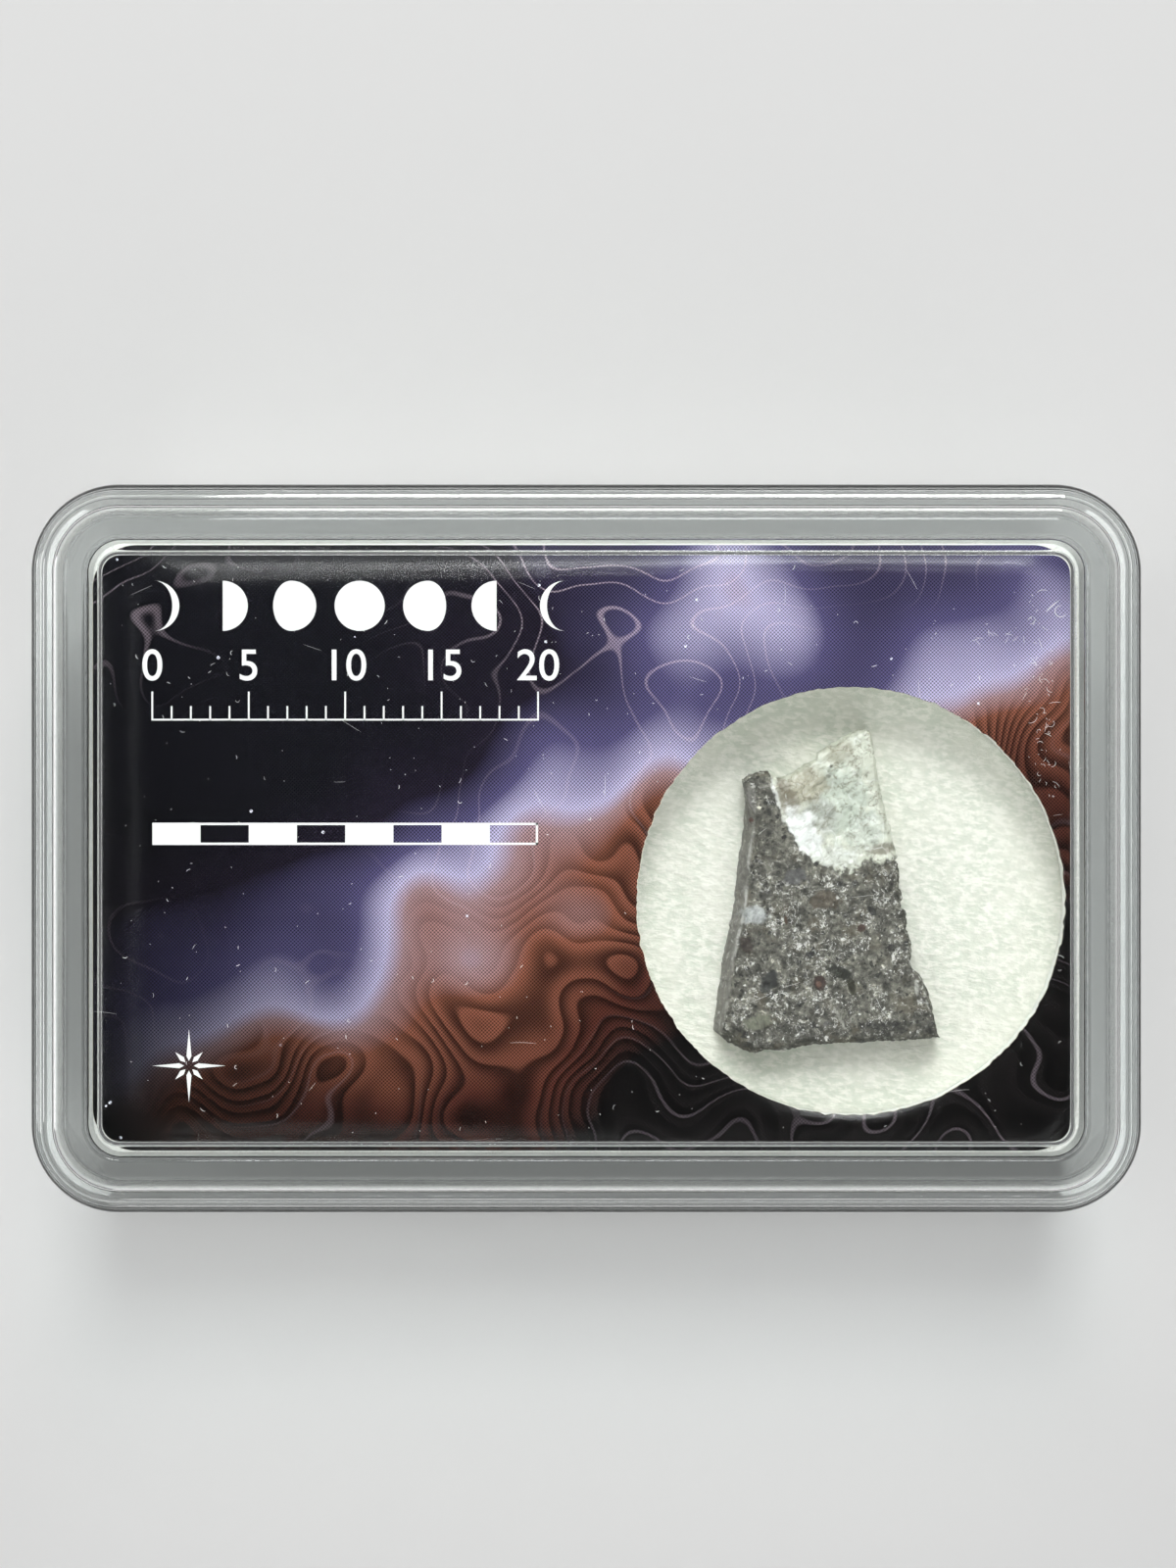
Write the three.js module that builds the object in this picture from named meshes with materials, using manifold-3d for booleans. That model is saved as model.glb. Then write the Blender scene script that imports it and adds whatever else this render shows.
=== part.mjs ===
// A sawn slice of a lunar meteorite in its clear display box, in millimetres.
// The box stands on its foot plate, centred on the origin. +Z points up through the lid,
// +X along the long side and +Y towards the long side that the stone's white clast points at.
import * as THREE from 'three';
import { mergeVertices } from 'three/addons/utils/BufferGeometryUtils.js';
import Module from 'manifold-3d';

const wasm = await Module();
wasm.setup();

// Driving dimensions of the box
const LENGTH = 57;
const WIDTH = 37.4;
const HEIGHT = 15;
const CORNER = 4.5;
const WALL = 1.05; // the lid's skirt
const FIT_GAP = 0.4; // between the lid's skirt and the tray's wall
const TRAY_WALL = 1.35;
const FLOOR = 1.5; // the tray's foot plate and its flange
const PLATE = 1.2; // the top of the lid
const SEAM = 0.05; // between the lid's skirt and the flange under it
const TRAY_TOP = 12.6;
const LID_ROUND = 0.9; // rounding along the lid's top edge
const SOFT_EDGE = 0.35; // rounding of the other moulded edges
const PANEL_INSET = 3.5; // from the lid's outside to its thinner middle
const PANEL_DEPTH = 0.15;
const CORNER_STEPS = 10;
const ROUND_STEPS = 4;
const PAST = 1; // how far a cutting body reaches past what it cuts

// Driving dimensions of what lies in the tray
const FILL_PLAY = 0.1; // between the foam and the tray's wall
const PAD_TOP = 7.6;
const WELL_DEPTH = 3;
const WELL = { x: 13.73, y: -2.77, radius: 11.2, steps: 72 };
const CARD = { thickness: 0.35, length: 51, width: 31.4, corner: 2.25, shift: -0.1 };
const WINDOW_RADIUS = 11.1;

// Driving dimensions of the stone
const STONE_THICKNESS = 2;
const STONE_MIDDLE = [12.3, -3.2];
const STONE_STEP = 0.5; // longest step along the outline
const STONE_CELL = 0.44; // facets of the upper face
const STONE_SPAN = { left: 5.9, right: 19.1, low: -11.4, high: 6.9 };
const STONE_LOOSE = 0.7; // how far the facets' corners stray, as a share of a facet
const SIDE_SHARES = [0, 0.3, 0.6, 0.85, 1.3]; // heights of the sides' rings, as shares of the thickness
const SAW_LEAN = 0.1; // how far the sides lean in between foot and top
const FLANK = { lean: 0.48, right: 9, fadeX: 0.6, top: 2.6, fadeY: 1 }; // the long left side leans more
const CLAST_SLOPE = { below: 0.2, above: 0.3 }; // where the clast rises, on either side of its edge

// The stone's unevenness: height in mm, waves per mm and the number that picks the pattern
const RELIEF = {
  broad: { height: 0.12, detail: 0.5, seed: 1 },
  rough: { height: 0.08, detail: 1.9, seed: 2 },
  ledges: { height: 0.32, detail: 0.7, slant: 0.4, count: 4, level: 0.35, seed: 3 },
  side: { height: 0.3, detail: 1.6, rise: 9, fade: 3, seed: 4 },
  chips: { height: 0.5, detail: 1.1, start: 0.85, spread: 3, seed: 5 },
};
const FACET_SEEDS = [6, 7];

// The stone's foot, anticlockwise from the left end of the long lower side
const STONE_OUTLINE = [
  [7.1, -9.95], [7.75, -10.4], [8.45, -10.68], [9.74, -10.54], [10.91, -10.4], [12.09, -10.24],
  [14.43, -10.08], [16.43, -10.03], [18.4, -9.89], [18.19, -8.95], [17.95, -8.0], [17.66, -7.08],
  [17.37, -6.6], [16.92, -6.25], [16.9, -4.85], [16.72, -4.26], [16.6, -3.32], [16.38, -3.18],
  [16.4, -2.74], [16.31, -2.03], [16.22, -0.86], [15.98, -0.74], [16.19, -0.53], [15.96, 0.31],
  [15.72, 1.37], [15.49, 2.43], [15.2, 3.48], [15.02, 4.66], [14.96, 5.36], [14.84, 6.0],
  [14.61, 6.2], [14.2, 6.12], [13.5, 5.77], [12.79, 5.36], [12.09, 4.95], [12.03, 4.66],
  [11.27, 4.21], [10.27, 3.56], [10.0, 3.52], [9.57, 3.89], [8.74, 3.81], [8.16, 3.48],
  [8.28, 3.0], [8.33, 2.19], [8.16, 0.31], [7.92, -0.86], [7.75, -2.85], [7.45, -4.38],
  [7.16, -5.79], [6.87, -7.78], [6.63, -9.6],
];

// Where the white clast meets the grey breccia, from left to right
const CLAST_EDGE = [
  [9.9, 3.6], [10.3, 1.4], [11.3, -0.2], [12.3, -1.1], [13.3, -1.3], [14.5, -0.9], [16.3, -0.6],
];

const FINISH = {
  clear: { color: 0xe8eef0, roughness: 0.05, metalness: 0, transparent: true, opacity: 0.3 },
  pad: { color: 0xe9ece4, roughness: 0.95, metalness: 0 },
  foam: { color: 0xeceee8, roughness: 0.95, metalness: 0 },
  card: { color: 0x3a2230, roughness: 0.4, metalness: 0 },
  stone: { color: 0x5d5a56, roughness: 0.7, metalness: 0 },
};

// A geometry as a closed solid whose shared corners are one vertex
function toSolid(geometry) {
  geometry.deleteAttribute('normal');
  geometry.deleteAttribute('uv');
  const merged = mergeVertices(geometry, 1e-4);
  const mesh = new wasm.Mesh({
    numProp: 3,
    vertProperties: new Float32Array(merged.attributes.position.array),
    triVerts: new Uint32Array(merged.index.array),
  });
  return new wasm.Manifold(mesh);
}

function toGeometry(solid) {
  const mesh = solid.getMesh();
  const geometry = new THREE.BufferGeometry();
  geometry.setAttribute('position', new THREE.BufferAttribute(mesh.vertProperties, 3));
  geometry.setIndex(new THREE.BufferAttribute(mesh.triVerts, 1));
  return geometry;
}

// Rings with the same number of points, joined from the lowest to the highest. The flat ends
// are fans around the middle, which sees every point of the first and last ring.
function stackRings(rings, middle = [0, 0]) {
  const count = rings[0].length;
  const points = rings.flat();
  const faces = [];
  for (let ring = 0; ring + 1 < rings.length; ring += 1) {
    for (let i = 0; i < count; i += 1) {
      const a = ring * count + i;
      const b = ring * count + ((i + 1) % count);
      faces.push(a, b, b + count, a, b + count, a + count);
    }
  }
  const top = (rings.length - 1) * count;
  const low = points.push([...middle, rings[0][0][2]]) - 1;
  const high = points.push([...middle, rings.at(-1)[0][2]]) - 1;
  for (let i = 0; i < count; i += 1) {
    const next = (i + 1) % count;
    faces.push(low, next, i);
    faces.push(high, top + i, top + next);
  }
  return meshFrom(points, faces);
}

function meshFrom(points, faces) {
  const geometry = new THREE.BufferGeometry();
  geometry.setAttribute('position', new THREE.Float32BufferAttribute(points.flat(), 3));
  geometry.setIndex(faces);
  return geometry;
}

// The box's outline, moved in by inset, at height z
function boxRing(inset, z) {
  const radius = Math.max(CORNER - inset, SOFT_EDGE);
  const ring = [];
  for (let corner = 0; corner < 4; corner += 1) {
    const signX = corner === 0 || corner === 3 ? 1 : -1;
    const signY = corner < 2 ? 1 : -1;
    const middleX = signX * (LENGTH / 2 - inset - radius);
    const middleY = signY * (WIDTH / 2 - inset - radius);
    for (let step = 0; step <= CORNER_STEPS; step += 1) {
      const angle = (corner + step / CORNER_STEPS) * (Math.PI / 2);
      ring.push([middleX + radius * Math.cos(angle), middleY + radius * Math.sin(angle), z]);
    }
  }
  return ring;
}

// Insets and heights of a quarter round of the given radius, from upright to flat
function quarterRound(inset, z, radius) {
  const profile = [];
  for (let step = 0; step <= ROUND_STEPS; step += 1) {
    const angle = (step / ROUND_STEPS) * (Math.PI / 2);
    const across = radius * (1 - Math.cos(angle));
    profile.push([inset + across, z + radius * Math.sin(angle)]);
  }
  return profile;
}

function boxSolid(profile) {
  return toSolid(stackRings(profile.map(([inset, z]) => boxRing(inset, z))));
}

// The lid: a rounded block, hollowed from below, with a shallow panel in the underside of its top
function lid() {
  const open = FLOOR + SEAM;
  const ceiling = HEIGHT - PLATE;
  const outside = boxSolid([[0, open], ...quarterRound(0, HEIGHT - LID_ROUND, LID_ROUND)]);
  const inside = boxSolid([[WALL, open - PAST], ...quarterRound(WALL, ceiling - SOFT_EDGE, SOFT_EDGE)]);
  const panel = boxSolid([
    [PANEL_INSET, ceiling - PAST],
    [PANEL_INSET + PANEL_DEPTH, ceiling + PANEL_DEPTH],
  ]);
  return toGeometry(outside.subtract(inside).subtract(panel));
}

// The tray: a foot plate as large as the lid, and a wall that fits inside the lid's skirt
function tray() {
  const outer = WALL + FIT_GAP;
  const inner = outer + TRAY_WALL;
  const outside = boxSolid([
    [SOFT_EDGE, 0],
    [0, SOFT_EDGE],
    [0, FLOOR],
    [outer, FLOOR],
    ...quarterRound(outer, TRAY_TOP - SOFT_EDGE, SOFT_EDGE),
  ]);
  const inside = boxSolid([
    [inner, FLOOR],
    [inner, TRAY_TOP - SOFT_EDGE],
    [inner - SOFT_EDGE, TRAY_TOP],
    [inner - SOFT_EDGE, TRAY_TOP + PAST],
  ]);
  return toGeometry(outside.subtract(inside));
}

function roundedRectangle(length, width, radius, middleX = 0) {
  const shape = new THREE.Shape();
  const x = length / 2 - radius;
  const y = width / 2 - radius;
  shape.absarc(middleX + x, y, radius, 0, Math.PI / 2);
  shape.absarc(middleX - x, y, radius, Math.PI / 2, Math.PI);
  shape.absarc(middleX - x, -y, radius, Math.PI, 1.5 * Math.PI);
  shape.absarc(middleX + x, -y, radius, 1.5 * Math.PI, 2 * Math.PI);
  return shape;
}

function roundHole(radius) {
  const points = [];
  for (let step = 0; step < WELL.steps; step += 1) {
    const angle = (-step / WELL.steps) * 2 * Math.PI;
    points.push(new THREE.Vector2(WELL.x + radius * Math.cos(angle), WELL.y + radius * Math.sin(angle)));
  }
  return new THREE.Path(points);
}

function layer(shape, bottom, top) {
  const options = { depth: top - bottom, bevelEnabled: false, curveSegments: CORNER_STEPS };
  const geometry = new THREE.ExtrudeGeometry(shape, options);
  geometry.translate(0, 0, bottom);
  return toGeometry(toSolid(geometry));
}

const fillInset = WALL + FIT_GAP + TRAY_WALL + FILL_PLAY;
const fillLength = LENGTH - 2 * fillInset;
const fillWidth = WIDTH - 2 * fillInset;
const fillCorner = CORNER - fillInset;
const cardBottom = PAD_TOP + WELL_DEPTH;

function backingPad() {
  return layer(roundedRectangle(fillLength, fillWidth, fillCorner), FLOOR, PAD_TOP);
}

function foamFrame() {
  const shape = roundedRectangle(fillLength, fillWidth, fillCorner);
  shape.holes.push(roundHole(WELL.radius));
  return layer(shape, PAD_TOP, cardBottom);
}

function card() {
  const shape = roundedRectangle(CARD.length, CARD.width, CARD.corner, CARD.shift);
  shape.holes.push(roundHole(WINDOW_RADIUS));
  return layer(shape, cardBottom, cardBottom + CARD.thickness);
}

// A steady stand-in for chance: the same place always gives the same value from 0 to 1
function lattice(i, j, seed) {
  const wave = Math.sin(i * 127.1 + j * 311.7 + seed * 74.7) * 43758.5453;
  return wave - Math.floor(wave);
}

function noise(x, y, seed) {
  const i = Math.floor(x);
  const j = Math.floor(y);
  const u = THREE.MathUtils.smoothstep(x - i, 0, 1);
  const v = THREE.MathUtils.smoothstep(y - j, 0, 1);
  const low = THREE.MathUtils.lerp(lattice(i, j, seed), lattice(i + 1, j, seed), u);
  const high = THREE.MathUtils.lerp(lattice(i, j + 1, seed), lattice(i + 1, j + 1, seed), u);
  return THREE.MathUtils.lerp(low, high, v);
}

// 1 on the white clast, 0 on the breccia, with a narrow slope between them
function clastShare(x, y) {
  const last = CLAST_EDGE.length - 1;
  let edge = x < CLAST_EDGE[0][0] ? CLAST_EDGE[0][1] : CLAST_EDGE[last][1];
  for (let i = 0; i < last; i += 1) {
    const [x0, y0] = CLAST_EDGE[i];
    const [x1, y1] = CLAST_EDGE[i + 1];
    if (x >= x0 && x < x1) edge = THREE.MathUtils.mapLinear(x, x0, x1, y0, y1);
  }
  return THREE.MathUtils.smoothstep(y, edge - CLAST_SLOPE.below, edge + CLAST_SLOPE.above);
}

// Height of the stone's upper face: a worn sawn breccia, and a clast that broke in ledges
function stoneTop(x, y) {
  const { broad, rough, ledges } = RELIEF;
  const waves = broad.height * (noise(x * broad.detail, y * broad.detail, broad.seed) - 0.5);
  const grain = rough.height * (noise(x * rough.detail, y * rough.detail, rough.seed) - 0.5);
  const slope = noise(x * ledges.detail + y * ledges.slant, y * ledges.detail, ledges.seed);
  const ledge = Math.round(ledges.count * slope) / ledges.count - ledges.level;
  return PAD_TOP + STONE_THICKNESS + waves + grain + ledges.height * ledge * clastShare(x, y);
}

// Points along the stone's foot, no more than one step apart
function stoneFoot() {
  const foot = [];
  STONE_OUTLINE.forEach(([x0, y0], i) => {
    const [x1, y1] = STONE_OUTLINE[(i + 1) % STONE_OUTLINE.length];
    const steps = Math.ceil(Math.hypot(x1 - x0, y1 - y0) / STONE_STEP);
    for (let step = 0; step < steps; step += 1) {
      const share = step / steps;
      foot.push([THREE.MathUtils.lerp(x0, x1, share), THREE.MathUtils.lerp(y0, y1, share)]);
    }
  });
  return foot;
}

// A foot point's place at a share of the stone's thickness. The long left side leans in most.
function sidePoint([x, y], share) {
  const { side, chips } = RELIEF;
  const onLeft = THREE.MathUtils.smoothstep(FLANK.right - x, 0, FLANK.fadeX);
  const onFlank = onLeft * THREE.MathUtils.smoothstep(FLANK.top - y, 0, FLANK.fadeY);
  const toMiddle = Math.hypot(STONE_MIDDLE[0] - x, STONE_MIDDLE[1] - y);
  const wave = noise(x * side.detail + side.rise * share, y * side.detail, side.seed) - 0.5;
  const rough = side.height * wave * Math.min(1, side.fade * share);
  const chipped = 1 + chips.spread * noise(x * chips.detail, y * chips.detail, chips.seed);
  const chip = chips.height * Math.max(0, share - chips.start) * chipped;
  const inward = (SAW_LEAN * share + rough + chip) / toMiddle;
  const leanX = FLANK.lean * onFlank * share;
  return [
    x + (STONE_MIDDLE[0] - x) * inward + leanX,
    y + (STONE_MIDDLE[1] - y) * inward,
    PAD_TOP + STONE_THICKNESS * share,
  ];
}

// A block under the relief of the upper face, on a grid whose points are moved about a little
function reliefBlock() {
  const columns = Math.ceil((STONE_SPAN.right - STONE_SPAN.left) / STONE_CELL);
  const rows = Math.ceil((STONE_SPAN.high - STONE_SPAN.low) / STONE_CELL);
  const points = [];
  for (let j = 0; j <= rows; j += 1) {
    for (let i = 0; i <= columns; i += 1) {
      const loose = i > 0 && j > 0 && i < columns && j < rows ? STONE_LOOSE * STONE_CELL : 0;
      const x = STONE_SPAN.left + i * STONE_CELL + loose * (lattice(i, j, FACET_SEEDS[0]) - 0.5);
      const y = STONE_SPAN.low + j * STONE_CELL + loose * (lattice(i, j, FACET_SEEDS[1]) - 0.5);
      points.push([x, y, stoneTop(x, y)]);
    }
  }
  const at = (i, j) => j * (columns + 1) + i;
  const faces = [];
  for (let j = 0; j < rows; j += 1) {
    for (let i = 0; i < columns; i += 1) {
      faces.push(at(i, j), at(i + 1, j), at(i + 1, j + 1));
      faces.push(at(i, j), at(i + 1, j + 1), at(i, j + 1));
    }
  }
  const border = [];
  for (let i = 0; i < columns; i += 1) border.push(at(i, 0));
  for (let j = 0; j < rows; j += 1) border.push(at(columns, j));
  for (let i = columns; i > 0; i -= 1) border.push(at(i, rows));
  for (let j = rows; j > 0; j -= 1) border.push(at(0, j));
  const below = PAD_TOP - PAST;
  const middle = points.push([...STONE_MIDDLE, below]) - 1;
  const base = points.length;
  border.forEach((top) => points.push([points[top][0], points[top][1], below]));
  border.forEach((top, i) => {
    const next = (i + 1) % border.length;
    faces.push(top, base + i, base + next, top, base + next, border[next]);
    faces.push(middle, base + next, base + i);
  });
  return toSolid(meshFrom(points, faces));
}

// The stone: rough upright sides on the sawn foot, cut off by the relief of the upper face
function stone() {
  const foot = stoneFoot();
  const rings = SIDE_SHARES.map((share) => foot.map((point) => sidePoint(point, share)));
  return toGeometry(toSolid(stackRings(rings, STONE_MIDDLE)).intersect(reliefBlock()));
}

function piece(name, geometry, finish) {
  const mesh = new THREE.Mesh(geometry, new THREE.MeshStandardMaterial(finish));
  mesh.name = name;
  return mesh;
}

const box = new THREE.Group();
box.add(piece('lid', lid(), FINISH.clear));
box.add(piece('tray', tray(), FINISH.clear));
box.add(piece('backing_pad', backingPad(), FINISH.pad));
box.add(piece('foam_frame', foamFrame(), FINISH.foam));
box.add(piece('card', card(), FINISH.card));
box.add(piece('meteorite_slice', stone(), FINISH.stone));

export default box;
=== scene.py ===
"""The looks of a meteorite slice in its clear display box, as an add-on that is run as a script.

Shapes are worked out in millimetres, in the box's own frame, and turned into metres when a mesh is made.
"""

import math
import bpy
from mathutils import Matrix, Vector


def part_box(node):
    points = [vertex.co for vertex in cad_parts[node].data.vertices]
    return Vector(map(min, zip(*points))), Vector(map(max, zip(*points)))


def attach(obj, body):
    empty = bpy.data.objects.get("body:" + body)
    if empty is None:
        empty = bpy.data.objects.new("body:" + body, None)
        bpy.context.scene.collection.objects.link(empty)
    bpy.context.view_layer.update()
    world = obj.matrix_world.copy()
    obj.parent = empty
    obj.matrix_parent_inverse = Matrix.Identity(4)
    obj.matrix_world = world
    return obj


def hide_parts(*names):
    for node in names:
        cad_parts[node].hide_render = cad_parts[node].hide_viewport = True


bl_info = {
    "name": "Boxed Meteorite Slice",
    "version": (1, 0, 0),
    "blender": (4, 5, 0),
    "location": "View3D > Sidebar > Meteorite Box",
    "description": "Builds a sawn meteorite slice on its pad, under a printed card, in a clear lidded box",
    "category": "Add Mesh",
}

import bpy
import numpy as np

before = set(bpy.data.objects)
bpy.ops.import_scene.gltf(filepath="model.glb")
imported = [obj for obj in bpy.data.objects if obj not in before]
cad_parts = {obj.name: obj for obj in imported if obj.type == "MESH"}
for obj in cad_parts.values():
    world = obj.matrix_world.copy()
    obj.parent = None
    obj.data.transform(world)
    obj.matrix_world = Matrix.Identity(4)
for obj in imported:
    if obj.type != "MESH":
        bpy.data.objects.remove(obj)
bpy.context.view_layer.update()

MM = 0.001
BODY = "root"
FULL_TURN = 2 * math.pi


def node_box(name):
    """The lowest and highest corner of a solid, in millimetres."""
    low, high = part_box(name)
    return np.array(low) / MM, np.array(high) / MM


LID_LOW, LID_HIGH = node_box("lid")
TRAY_HIGH = node_box("tray")[1]
PAD_LOW, PAD_HIGH = node_box("backing_pad")
FOAM_LOW, FOAM_HIGH = node_box("foam_frame")
CARD_LOW, CARD_HIGH = node_box("card")
STONE_LOW = node_box("meteorite_slice")[0]

# In millimetres: the box's sides, the card's window, the well under it, the stone, the pad's corners
LENGTH, WIDTH = (LID_HIGH - LID_LOW)[:2]
WINDOW = np.array((13.73, -2.77))
WINDOW_RADIUS = 11.1
WELL_RADIUS = 11.2
STONE_MIDDLE = np.array((12.3, -3.2))
STONE_THICKNESS = 2.0
PADDING_CORNER = 1.6

# The picture's height in pixels, and its scale at the lid
PICTURE_HEIGHT = 1600
PIXELS_PER_MM = 19.92


# Settings that a user may change


class BoxSettings(bpy.types.PropertyGroup):
    corner: bpy.props.FloatProperty(
        name="Corner radius", description="Corners of the lid and the foot plate", unit="LENGTH", default=4.5 * MM
    )
    skirt: bpy.props.FloatProperty(
        name="Skirt wall", description="Thickness of the lid's skirt", unit="LENGTH", default=1.05 * MM
    )
    fit_gap: bpy.props.FloatProperty(
        name="Fit gap", description="Between the skirt and the tray's wall", unit="LENGTH", default=0.4 * MM
    )
    tray_wall: bpy.props.FloatProperty(
        name="Tray wall", description="Thickness of the tray's wall", unit="LENGTH", default=1.35 * MM
    )
    tint: bpy.props.FloatVectorProperty(
        name="Plastic tint",
        description="Colour of the light that passes through",
        subtype="COLOR",
        default=(0.975, 0.985, 0.982),
    )


class CardSettings(bpy.types.PropertyGroup):
    cool: bpy.props.FloatVectorProperty(
        name="Cool ink", description="Violet of the upper print", subtype="COLOR", default=(0.078, 0.068, 0.155)
    )
    warm: bpy.props.FloatVectorProperty(
        name="Warm ink", description="Rust of the lower print", subtype="COLOR", default=(0.21, 0.075, 0.045)
    )
    screen: bpy.props.FloatProperty(
        name="Print screen", description="Pitch of the print's dots", unit="LENGTH", default=0.1333 * MM
    )
    corner: bpy.props.FloatProperty(
        name="Corner radius", description="Corners of the card", unit="LENGTH", default=2.25 * MM
    )


class StoneSettings(bpy.types.PropertyGroup):
    matrix: bpy.props.FloatVectorProperty(
        name="Matrix", description="Colour of the dark breccia", subtype="COLOR", default=(0.148, 0.145, 0.119)
    )
    flecks: bpy.props.FloatVectorProperty(
        name="Flecks", description="Colour of the feldspar chips", subtype="COLOR", default=(0.72, 0.72, 0.68)
    )
    clast: bpy.props.FloatVectorProperty(
        name="White clast", description="Colour of the large clast", subtype="COLOR", default=(0.61, 0.635, 0.53)
    )


class StageSettings(bpy.types.PropertyGroup):
    floor: bpy.props.FloatVectorProperty(
        name="Floor", description="Colour of the floor", subtype="COLOR", default=(0.8, 0.8, 0.79)
    )
    camera_height: bpy.props.FloatProperty(
        name="Camera height", description="Camera above the lid", unit="LENGTH", default=0.3
    )
    key: bpy.props.FloatProperty(name="Key light", description="Power of the main light, in watts", default=0.92)


# Meshes


def add_object(name, data, location=(0, 0, 0)):
    """A new object in the scene."""
    made = bpy.data.objects.new(name, data)
    made.location = location
    bpy.context.scene.collection.objects.link(made)
    return made


def read_points(mesh):
    """The places of a mesh's points, one row each."""
    points = np.empty(len(mesh.vertices) * 3)
    mesh.vertices.foreach_get("co", points)
    return points.reshape(-1, 3)


def make_piece(name, points, faces, material, smooth=True):
    """A mesh object at the origin from points in millimetres, riding on the box."""
    mesh = bpy.data.meshes.new(name)
    mesh.from_pydata((np.asarray(points, dtype=float) * MM).tolist(), [], faces)
    mesh.polygons.foreach_set("use_smooth", np.full(len(mesh.polygons), smooth))
    mesh.materials.append(material)
    mesh.update()
    piece = add_object(name, mesh)
    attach(piece, BODY)
    return piece


def ring_faces(rings, count, loop, start=0):
    """Quads between neighbouring rings of count points each, numbered from start. With loop, the last ring
    meets the first; without it, one face closes the first ring and another the last."""
    ring = np.arange(rings if loop else rings - 1)[:, None]
    i = np.arange(count)[None, :]
    here, above = ring * count, (ring + 1) % rings * count
    beside = (i + 1) % count
    quads = np.stack([here + i, here + beside, above + beside, above + i], axis=-1)
    faces = (quads.reshape(-1, 4) + start).tolist()
    if not loop:
        last = start + (rings - 1) * count
        faces += [list(range(start + count - 1, start - 1, -1)), list(range(last, last + count))]
    return faces


def ring_solid(name, rings, material, loop=False):
    """A closed piece from rings of points (ring, point, xyz) that run anticlockwise seen from above.
    Without loop they go from the foot to the top; with loop they go once round the section of a frame
    with a hole: up its outside and down its inside."""
    rings = np.asarray(rings, dtype=float)
    return make_piece(name, rings.reshape(-1, 3), ring_faces(*rings.shape[:2], loop), material)


def join_solids(name, solids, material, smooth=True):
    """One piece from many small closed forms, each an array of rings from end to end."""
    points, faces = [], []
    for rings in solids:
        faces += ring_faces(*rings.shape[:2], False, len(points))
        points += rings.reshape(-1, 3).tolist()
    return make_piece(name, points, faces, material, smooth)


def level_ring(line, level):
    """Points of a line in the plane, all at one level or each at its own."""
    return np.column_stack([line, np.broadcast_to(level, len(line))])


def frame_rings(outline, hole, section):
    """Carries a section of (share, height) pairs from the outline in to the hole: one ring for each."""
    return [level_ring(outline + (hole - outline) * share, height) for share, height in section]


def rounded_outline(length, width, radius, steps=24, straight=1):
    """Points of a rectangle whose corners are quarter circles of the given radius, anticlockwise.
    Each straight side is divided into the given number of parts."""
    quarters = []
    for quarter, sign in enumerate(((1, 1), (-1, 1), (-1, -1), (1, -1))):
        middle = sign * (np.array([length, width]) / 2 - radius)
        angle = (quarter + np.linspace(0, 1, steps + 1)) * math.pi / 2
        quarters.append(middle + radius * np.stack([np.cos(angle), np.sin(angle)], axis=-1))
    share = np.linspace(0, 1, straight + 1)[1:-1, None]
    points = []
    for here, after in zip(quarters, quarters[1:] + quarters[:1]):
        points += [here, here[-1] + (after[0] - here[-1]) * share]
    return np.concatenate(points)


def swept_rings(profile, length, width, corner, steps=24):
    """Carries a profile of (inset, height) pairs round a rounded rectangle: one ring for each pair."""
    rings = []
    for inset, height in profile:
        radius = max(corner - inset, 0.35)
        outline = rounded_outline(length - 2 * inset, width - 2 * inset, radius, steps)
        rings.append(level_ring(outline, height))
    return np.stack(rings)


def arc(centre, radius, start, end, steps=6):
    """Points of a circle's arc in the (inset, height) plane, with angles in quarter turns."""
    angle = np.linspace(start, end, steps + 1) * math.pi / 2
    return [(centre[0] + radius * math.cos(a), centre[1] + radius * math.sin(a)) for a in angle]


# A steady stand-in for chance, the same at every run


def lattice(i, j, seed):
    """A number between 0 and 1 for each lattice point: the fraction of a large multiple of a sine."""
    wave = np.sin(i * 127.1 + j * 311.7 + seed * 74.7) * 43758.5453
    return wave - np.floor(wave)


def ease(value, low, high):
    """0 below low, 1 above high and a smooth step between."""
    t = np.clip((value - low) / (high - low), 0, 1)
    return t * t * (3 - 2 * t)


def noise(x, y, seed):
    """Value noise: random numbers on a square lattice, blended smoothly between its points."""
    i = np.floor(x)
    j = np.floor(y)
    u = ease(x - i, 0, 1)
    v = ease(y - j, 0, 1)
    low = lattice(i, j, seed) * (1 - u) + lattice(i + 1, j, seed) * u
    high = lattice(i, j + 1, seed) * (1 - u) + lattice(i + 1, j + 1, seed) * u
    return low * (1 - v) + high * v


def layered_noise(x, y, seed, layers=4, gain=0.55):
    """Sum of noises, each about twice as fine and gain times as strong as the one before, centred on 0."""
    total = np.zeros(np.shape(x))
    strength = 1.0
    for layer in range(layers):
        turned_x = x * 0.8 - y * 0.6
        turned_y = x * 0.6 + y * 0.8
        x, y = turned_x * 2.03, turned_y * 2.03
        total = total + strength * (noise(x, y, seed + layer) - 0.5)
        strength *= gain
    return total


# Shader nodes


class Value:
    """A node's output. Arithmetic on it adds Math nodes."""

    def __init__(self, tree, socket):
        self.tree = tree
        self.socket = socket

    def __add__(self, other):
        return self.tree.math("ADD", self, other)

    def __sub__(self, other):
        return self.tree.math("SUBTRACT", self, other)

    def __rsub__(self, other):
        return self.tree.math("SUBTRACT", other, self)

    def __mul__(self, other):
        return self.tree.math("MULTIPLY", self, other)

    def __gt__(self, other):
        return self.tree.math("GREATER_THAN", self, other)

    def __lt__(self, other):
        return self.tree.math("LESS_THAN", self, other)


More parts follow.
